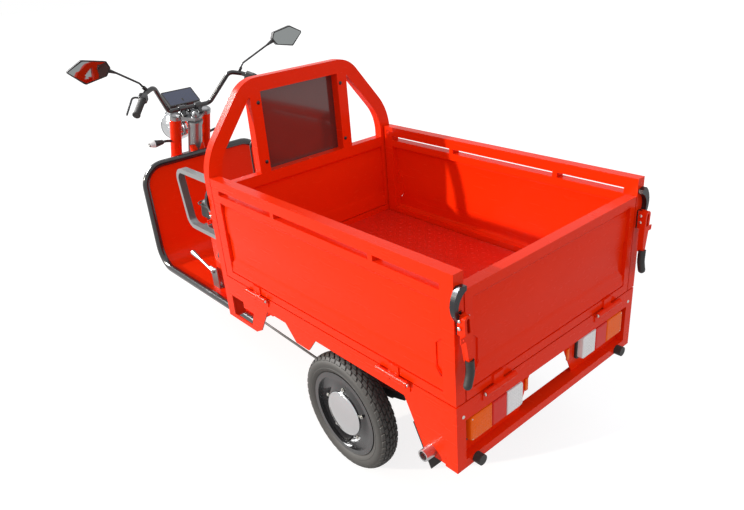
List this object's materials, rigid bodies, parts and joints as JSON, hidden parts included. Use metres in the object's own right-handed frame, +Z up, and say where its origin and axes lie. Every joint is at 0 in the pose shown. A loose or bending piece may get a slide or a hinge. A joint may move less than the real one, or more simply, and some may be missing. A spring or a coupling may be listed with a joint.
{
  "type": "electric cargo tricycle",
  "caption": "Cargo tricycle with a drop-side load bed, rider seat, footwell with leg shield, handlebar steering and electric rear axle.",
  "frame": {"origin": "on the ground under the middle of the overall length and width", "axes": "+X forward, +Y to the left, +Z up"},
  "size_m": [2.927, 1.277, 1.3995],
  "materials": {
    "red_paint": "bright orange-red gloss paint over pressed steel and tube",
    "black_paint": "black gloss paint",
    "steel": "plain grey steel, lightly worn",
    "chrome": "bright plated metal",
    "tyre_rubber": "grey-black road tyre rubber",
    "black_rubber": "matt black rubber",
    "black_plastic": "grained black moulded plastic",
    "seat_leather": "black imitation leather with sewn seams",
    "lamp_lens": "ribbed red, amber and clear lens",
    "tinted_pane": "dark brown-grey tinted sheet with a gloss face"
  },
  "bodies": {
    "root": {"bed_rim": "red_paint", "bed_floor": "red_paint", "main_beams": "red_paint", "steering_head": "steel", "rear_frame": "red_paint", "mud_flaps": "black_rubber", "tail_lamps": "lamp_lens", "buffers": "black_rubber", "pipe_stubs": "steel", "hoop": "red_paint", "headboard": "red_paint", "pane": "tinted_pane", "seat_box": "red_paint", "battery": "black_plastic", "seat_cushion": "seat_leather", "seat_back": "seat_leather", "armrests": "black_paint", "footwell": "red_paint", "border_tube": "black_paint", "side_brackets": "red_paint", "leaf_springs": "black_paint", "spring_hangers": "black_paint", "rear_axle": "black_paint", "foot_brake": "black_paint", "park_lever": "steel", "latches_front": "steel"},
    "steering": {"fork_legs": "steel", "fork_crowns": "black_paint", "fork_shrouds": "red_paint", "front_fender": "red_paint", "handlebar": "black_paint", "grips": "black_rubber", "mirrors": "black_plastic", "display": "black_plastic", "headlight": "chrome", "front_signals": "black_plastic"},
    "front_wheel": {"tyre_front": "tyre_rubber", "rim_front": "black_paint"},
    "rear_wheel_left": {"tyre_rear_left": "tyre_rubber", "rim_rear_left": "black_paint", "hubcap_rear_left": "chrome"},
    "rear_wheel_right": {"tyre_rear_right": "tyre_rubber", "rim_rear_right": "black_paint", "hubcap_rear_right": "chrome"},
    "gate_left": {"gate_left_frame": "red_paint", "gate_left_panel": "red_paint", "latch_left": "steel"},
    "gate_right": {"gate_right_frame": "red_paint", "gate_right_panel": "red_paint", "latch_right": "steel"},
    "tailgate": {"tailgate_frame": "red_paint", "tailgate_panel": "red_paint"}
  },
  "joints": [
    {"name": "steering", "type": "hinge", "parent": "root", "child": "steering", "pos_m": [0.8955, 0, 0.941], "axis": [-0.342, 0, 0.9397], "range_deg": [-40, 40]},
    {"name": "front_wheel_spin", "type": "hinge", "parent": "steering", "child": "front_wheel", "pos_m": [1.2075, 0, 0.23], "axis": [0, 1, 0], "continuous": true},
    {"name": "rear_wheel_left_spin", "type": "hinge", "parent": "root", "child": "rear_wheel_left", "pos_m": [-0.8445, 0.429, 0.23], "axis": [0, 1, 0], "continuous": true},
    {"name": "rear_wheel_right_spin", "type": "hinge", "parent": "root", "child": "rear_wheel_right", "pos_m": [-0.8445, -0.429, 0.23], "axis": [0, 1, 0], "continuous": true},
    {"name": "gate_left_drop", "type": "hinge", "parent": "root", "child": "gate_left", "pos_m": [-0.7865, 0.491, 0.568], "axis": [-1, 0, 0], "range_deg": [0, 175]},
    {"name": "gate_right_drop", "type": "hinge", "parent": "root", "child": "gate_right", "pos_m": [-0.7865, -0.491, 0.568], "axis": [1, 0, 0], "range_deg": [0, 175]},
    {"name": "tailgate_drop", "type": "hinge", "parent": "root", "child": "tailgate", "pos_m": [-1.4335, 0, 0.568], "axis": [0, -1, 0], "range_deg": [0, 177]}
  ]
}
